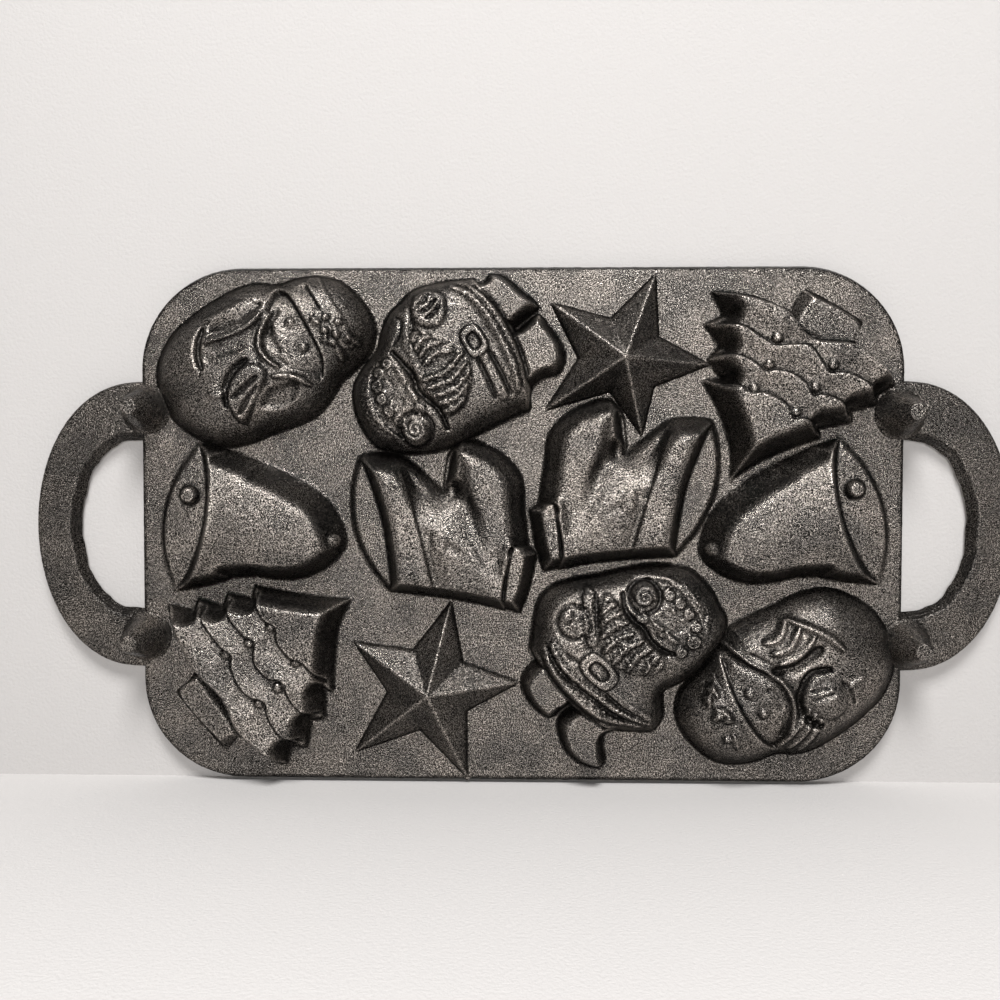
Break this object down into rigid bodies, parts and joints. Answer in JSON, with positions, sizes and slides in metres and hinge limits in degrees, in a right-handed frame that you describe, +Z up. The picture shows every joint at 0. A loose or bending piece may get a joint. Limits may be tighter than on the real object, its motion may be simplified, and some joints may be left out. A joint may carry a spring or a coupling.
{
  "type": "muffin pan",
  "caption": "Cast iron muffin pan with cups shaped as stars, bells, boots, trees, snowmen and Santas, loop handles and cone feet.",
  "frame": {"origin": "centre of the bounding box in X and Y, at the tips of the feet, where the pan stands on the floor", "axes": "+X runs along the pan from handle to handle, +Y across it, +Z up, out of the mouths of the cups"},
  "size_m": [0.3708, 0.196, 0.024],
  "materials": {
    "cast_iron": "sand-cast black iron, lightly oiled"
  },
  "bodies": {
    "root": {"plate": "cast_iron", "snowman_cup_front_left": "cast_iron", "santa_cup_front": "cast_iron", "star_cup_front": "cast_iron", "tree_cup_front_right": "cast_iron", "bell_cup_left": "cast_iron", "boot_cup_left": "cast_iron", "boot_cup_right": "cast_iron", "bell_cup_right": "cast_iron", "tree_cup_back_left": "cast_iron", "star_cup_back": "cast_iron", "santa_cup_back": "cast_iron", "snowman_cup_back_right": "cast_iron", "left_handle": "cast_iron", "right_handle": "cast_iron", "foot_front_left": "cast_iron", "foot_front_right": "cast_iron", "foot_back_left": "cast_iron", "foot_back_right": "cast_iron"}
  },
  "joints": []
}
